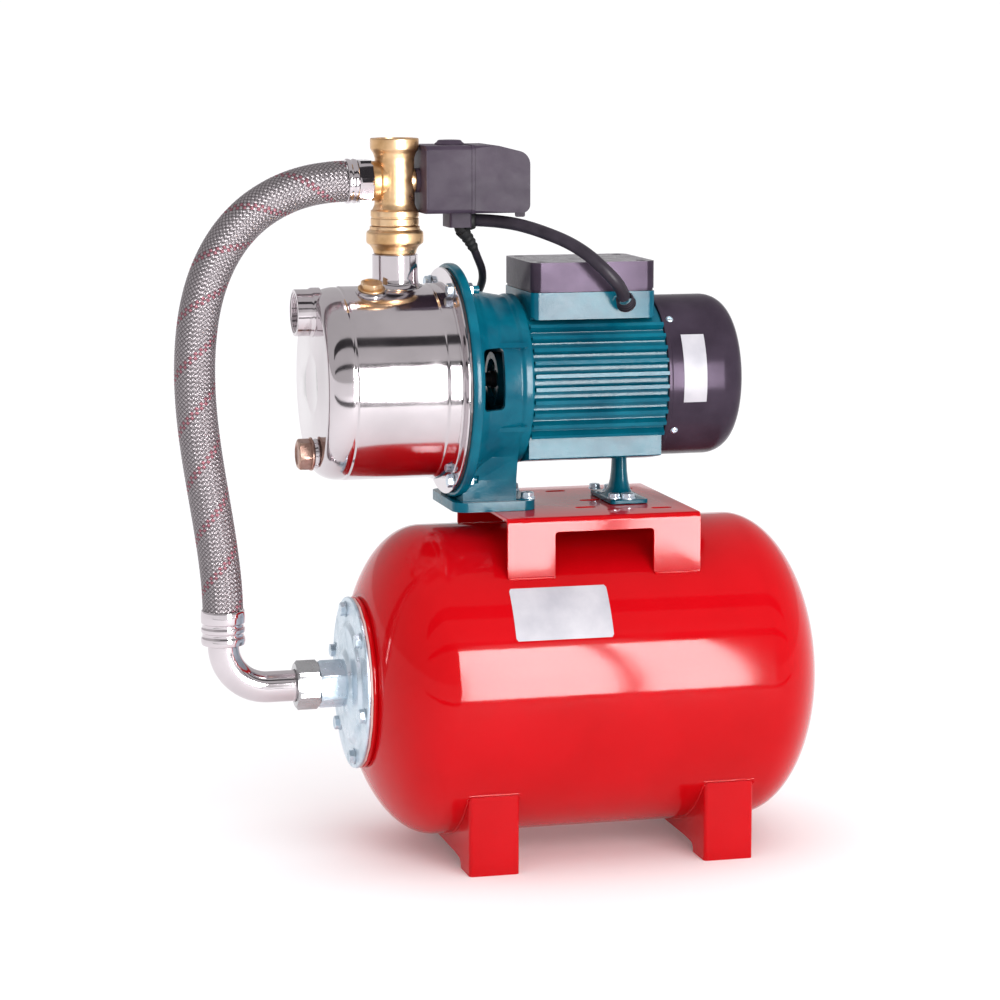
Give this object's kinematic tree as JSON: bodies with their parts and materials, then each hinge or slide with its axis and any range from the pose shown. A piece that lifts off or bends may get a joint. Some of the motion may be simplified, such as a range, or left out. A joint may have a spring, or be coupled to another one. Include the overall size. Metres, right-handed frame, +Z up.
{
  "type": "shallow well jet pump",
  "caption": "Self-priming jet pump with a finned electric motor on a horizontal pressure tank, with brass fittings, pressure switch, braided hose and cables.",
  "frame": {"origin": "on the floor, under the middle of the set's bounding box without its hose and cables", "axes": "+X along the tank and the pump's shaft, from the hose end towards the motor's fan; +Z up; +Y to the back, the switch's cable side"},
  "size_m": [0.5689, 0.3893, 0.62],
  "materials": {
    "red_paint": "gloss",
    "teal_paint": "satin",
    "stainless": "polished",
    "steel": "machined",
    "zinc": "zinc plated",
    "brass": "bare brass",
    "bronze": "dulled brass",
    "plum_plastic": "dark grey with a violet cast",
    "black_plastic": "black",
    "rubber": "black",
    "copper": "enamelled copper",
    "carbon": "carbon-filled",
    "resin": "pale",
    "braid": "woven wire"
  },
  "bodies": {
    "unit": {"tank_shell": "red_paint", "left_foot": "red_paint", "right_foot": "red_paint", "pump_platform": "red_paint", "motor_bracket": "teal_paint", "motor_frame": "teal_paint", "rear_end_shield": "teal_paint", "motor_support_foot": "teal_paint", "terminal_box_base": "teal_paint", "pump_casing": "stainless", "seal_plate": "stainless", "hose_upper_nut": "stainless", "hose_upper_ferrule": "stainless", "hose_swivel_nut": "stainless", "hose_elbow": "stainless", "hose_lower_ferrule": "stainless", "front_bearing": "steel", "rear_bearing": "steel", "stator_core": "steel", "check_valve_spring": "steel", "range_spring": "steel", "tank_flange": "zinc", "casing_bolt_1": "zinc", "casing_bolt_2": "zinc", "casing_bolt_3": "zinc", "casing_bolt_4": "zinc", "manifold": "brass", "check_valve_body": "brass", "gauge_port_plug": "brass", "priming_plug": "brass", "air_valve": "brass", "drain_plug": "bronze", "fan_cover": "plum_plastic", "terminal_box_cover": "plum_plastic", "switch_base": "plum_plastic", "switch_cover": "plum_plastic", "motor_cable_gland": "black_plastic", "air_valve_cap": "black_plastic", "motor_lead": "black_plastic", "mains_cord": "black_plastic", "mains_coil": "black_plastic", "mains_plug": "black_plastic", "tank_membrane": "rubber", "casing_oring": "rubber", "stator_winding": "copper", "ejector": "carbon", "diffuser": "carbon", "seal_seat": "resin", "capacitor": "resin", "terminal_block": "resin", "braided_hose": "braid"},
    "rotor": {"shaft": "steel", "rotor_core": "steel", "impeller": "brass", "impeller_nut": "steel", "seal_rotor": "carbon", "fan": "black_plastic"},
    "poppet": {"check_valve_poppet": "resin"},
    "plunger": {"switch_plunger": "steel"},
    "lever": {"contact_lever": "brass"}
  },
  "joints": [
    {"name": "rotor_spin", "type": "hinge", "parent": "unit", "child": "rotor", "pos_m": [0.0598, 0, 0.412], "axis": [1, 0, 0], "continuous": true},
    {"name": "poppet_lift", "type": "slide", "parent": "unit", "child": "poppet", "axis": [0, 0, 1], "range_m": [0, 0.006], "stiffness_N_per_m": 60, "springref_m": -0.004, "deforming": ["check_valve_spring"]},
    {"name": "plunger_travel", "type": "slide", "parent": "unit", "child": "plunger", "axis": [1, 0, 0], "range_m": [0, 0.0015], "stiffness_N_per_m": 2000, "springref_m": -0.001},
    {"name": "lever_tilt", "type": "hinge", "parent": "unit", "child": "lever", "pos_m": [-0.0637, 0, 0.5894], "axis": [0, 1, 0], "range_deg": [-8, 1], "deforming": ["range_spring"]}
  ],
  "couplings": [
    {"joint": "lever_tilt", "follows": "plunger_travel", "rad_per_m": -83.33}
  ]
}
